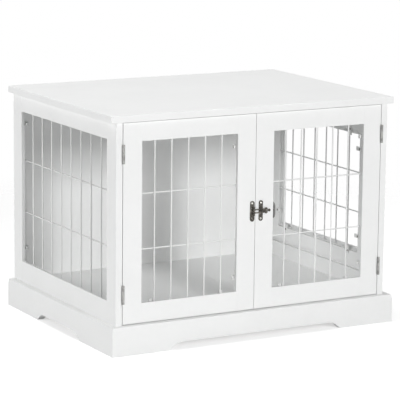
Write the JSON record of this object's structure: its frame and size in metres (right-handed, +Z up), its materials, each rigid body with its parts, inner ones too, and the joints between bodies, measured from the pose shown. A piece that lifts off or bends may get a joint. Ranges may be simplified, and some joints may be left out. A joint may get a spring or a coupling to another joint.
{
  "type": "dog crate end table",
  "caption": "Painted end table that is also a dog crate, with two wire front doors, a wire side door, a wire side panel and a hasp latch.",
  "frame": {"origin": "on the floor, in the middle of the base", "axes": "+X to the right seen from the front, the front doors face -Y, +Z up"},
  "size_m": [0.858, 0.646, 0.62],
  "materials": {
    "painted_wood": "satin",
    "white_wire": "gloss",
    "dark_bronze": "satin",
    "hinge_steel": "satin",
    "raw_pine": "matte",
    "clip_plastic": "matte"
  },
  "bodies": {
    "cabinet": {"back_floor_cleat": "raw_pine", "back_panel": "painted_wood", "back_rail": "painted_wood", "floor_panel": "painted_wood", "front_floor_cleat": "raw_pine", "front_plinth_board": "painted_wood", "front_sill": "painted_wood", "left_back_post": "painted_wood", "left_bottom_rail": "painted_wood", "left_door_hinge_pins": "hinge_steel", "left_door_post_leaves": "hinge_steel", "left_front_post": "painted_wood", "left_grille": "white_wire", "left_grille_clips": "clip_plastic", "left_plinth_board": "painted_wood", "left_top_rail": "painted_wood", "plinth_corner_blocks": "raw_pine", "right_back_post": "painted_wood", "right_bottom_rail": "painted_wood", "right_door_hinge_pins": "hinge_steel", "right_door_post_leaves": "hinge_steel", "right_front_post": "painted_wood", "right_plinth_board": "painted_wood", "right_top_rail": "painted_wood", "side_catch_plate": "dark_bronze", "side_door_hinge_pins": "hinge_steel", "side_door_post_leaves": "hinge_steel", "side_floor_cleats": "raw_pine", "tabletop": "painted_wood", "top_stretcher": "painted_wood"},
    "left_door": {"front_hasp_pin": "dark_bronze", "front_hasp_plate": "dark_bronze", "left_door_bottom_rail": "painted_wood", "left_door_door_leaves": "hinge_steel", "left_door_grille": "white_wire", "left_door_grille_clips": "clip_plastic", "left_door_hinge_stile": "painted_wood", "left_door_meeting_stile": "painted_wood", "left_door_top_rail": "painted_wood"},
    "right_door": {"front_catch_plate": "dark_bronze", "right_door_bottom_rail": "painted_wood", "right_door_door_leaves": "hinge_steel", "right_door_grille": "white_wire", "right_door_grille_clips": "clip_plastic", "right_door_hinge_stile": "painted_wood", "right_door_meeting_stile": "painted_wood", "right_door_top_rail": "painted_wood"},
    "side_door": {"side_door_bottom_rail": "painted_wood", "side_door_door_leaves": "hinge_steel", "side_door_grille": "white_wire", "side_door_grille_clips": "clip_plastic", "side_door_hinge_stile": "painted_wood", "side_door_latch_stile": "painted_wood", "side_door_top_rail": "painted_wood", "side_hasp_pin": "dark_bronze", "side_hasp_plate": "dark_bronze"},
    "front_latch_arm": {"front_hasp_arm": "dark_bronze"},
    "side_latch_arm": {"side_hasp_arm": "dark_bronze"}
  },
  "joints": [
    {"name": "left_door_swing", "type": "hinge", "parent": "cabinet", "child": "left_door", "pos_m": [-0.3902, -0.3072, 0.339], "axis": [0, 0, -1], "range_deg": [0, 165]},
    {"name": "right_door_swing", "type": "hinge", "parent": "cabinet", "child": "right_door", "pos_m": [0.3902, -0.3072, 0.339], "axis": [0, 0, 1], "range_deg": [0, 165]},
    {"name": "side_door_swing", "type": "hinge", "parent": "cabinet", "child": "side_door", "pos_m": [0.4132, 0.2702, 0.3435], "axis": [0, 0, 1], "range_deg": [0, 165]},
    {"name": "front_latch_swing", "type": "hinge", "parent": "left_door", "child": "front_latch_arm", "pos_m": [-0.006, -0.3076, 0.342], "axis": [0, 0, -1], "range_deg": [0, 170]},
    {"name": "side_latch_swing", "type": "hinge", "parent": "side_door", "child": "side_latch_arm", "pos_m": [0.4136, -0.244, 0.342], "axis": [0, 0, 1], "range_deg": [0, 170]}
  ]
}
